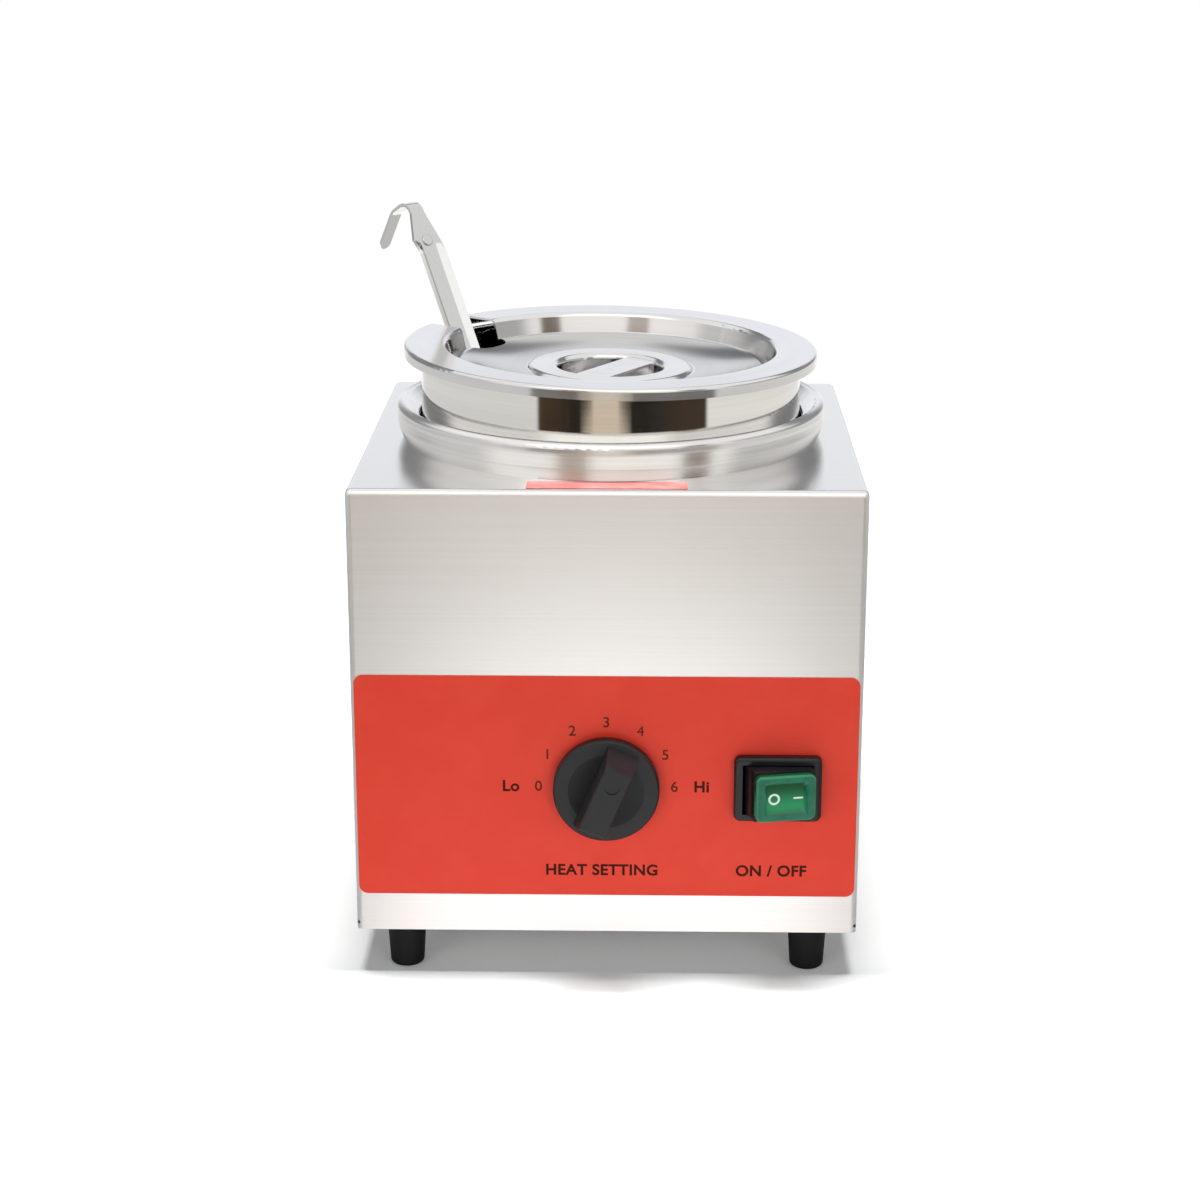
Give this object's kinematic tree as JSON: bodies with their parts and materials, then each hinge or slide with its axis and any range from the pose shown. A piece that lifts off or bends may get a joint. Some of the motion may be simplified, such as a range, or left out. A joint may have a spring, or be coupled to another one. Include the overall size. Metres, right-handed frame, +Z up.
{
  "type": "countertop topping warmer",
  "caption": "Square stainless countertop warmer on rubber feet, with a round heated well, a lift-out lidded pot, a ladle through the lid notch, a control knob and a lit rocker switch.",
  "frame": {"origin": "on the surface it stands on, under the centre of the case", "axes": "+X to the user's right, +Y to the back, +Z up; the controls face -Y"},
  "size_m": [0.2223, 0.258, 0.3161],
  "materials": {
    "case_steel": "stainless sheet, fine brushed grain",
    "panel_steel": "plain stainless sheet",
    "polished_steel": "polished spun stainless",
    "ladle_steel": "satin stainless",
    "zinc_steel": "zinc-plated sheet",
    "fasteners": "plain steel",
    "element_sheath": "dark heat-proof sheath",
    "aluminium_sheet": "mill finish",
    "copper_tube": "drawn tube",
    "brass_parts": "plain turned brass",
    "black_rubber": "matt moulded rubber",
    "black_plastic": "fine matt moulded plastic",
    "switch_plastic": "half-gloss moulded plastic",
    "green_lens": "clear green moulded plastic, lit from behind",
    "red_label": "red vinyl sheet",
    "caution_label": "red vinyl sheet",
    "cream_plastic": "cream moulded plastic",
    "mineral_wool": "pressed mineral wool"
  },
  "bodies": {
    "root": {"body_shell": "case_steel", "rear_panel": "panel_steel", "rear_panel_screws": "fasteners", "base_plate": "zinc_steel", "foot_front_left": "black_rubber", "foot_front_right": "black_rubber", "foot_back_left": "black_rubber", "foot_back_right": "black_rubber", "foot_screws": "fasteners", "foot_nuts": "fasteners", "collar_ring": "polished_steel", "well_pan": "polished_steel", "front_label": "red_label", "caution_strip": "caution_label", "thermostat_body": "zinc_steel", "thermostat_screws": "fasteners", "switch_housing": "switch_plastic", "switch_blades": "brass_parts", "heating_element": "element_sheath", "clamp_plate": "aluminium_sheet", "clamp_studs": "fasteners", "clamp_nuts": "fasteners", "floor_insulation": "mineral_wool", "heat_shield": "aluminium_sheet", "wall_insulation": "mineral_wool", "thermal_cutout": "zinc_steel", "sensing_bulb": "copper_tube", "cable_gland": "black_plastic", "gland_locknut": "black_plastic", "terminal_block": "cream_plastic", "earth_stud": "brass_parts", "earth_nut": "brass_parts"},
    "pot": {"pot": "polished_steel"},
    "lid": {"lid": "polished_steel", "lid_strap": "polished_steel"},
    "ladle": {"ladle_handle": "ladle_steel", "ladle_bowl": "ladle_steel"},
    "knob": {"control_knob": "black_plastic", "thermostat_shaft": "fasteners"},
    "rocker": {"rocker_base": "switch_plastic", "rocker_lens": "green_lens"}
  },
  "joints": [
    {"name": "pot_lift", "type": "slide", "parent": "root", "child": "pot", "axis": [0, 0, 1], "range_m": [0, 0.15]},
    {"name": "lid_lift", "type": "slide", "parent": "pot", "child": "lid", "axis": [0, 0, 1], "range_m": [0, 0.12]},
    {"name": "ladle_draw", "type": "slide", "parent": "pot", "child": "ladle", "axis": [-0.332, 0.332, 0.8829], "range_m": [0, 0.08]},
    {"name": "knob_turn", "type": "hinge", "parent": "root", "child": "knob", "pos_m": [0, -0.111, 0.088], "axis": [0, -1, 0], "range_deg": [-67, 113]},
    {"name": "rocker_tilt", "type": "hinge", "parent": "root", "child": "rocker", "pos_m": [0.074, -0.109, 0.0885], "axis": [0, 0, -1], "range_deg": [0, 22]}
  ]
}
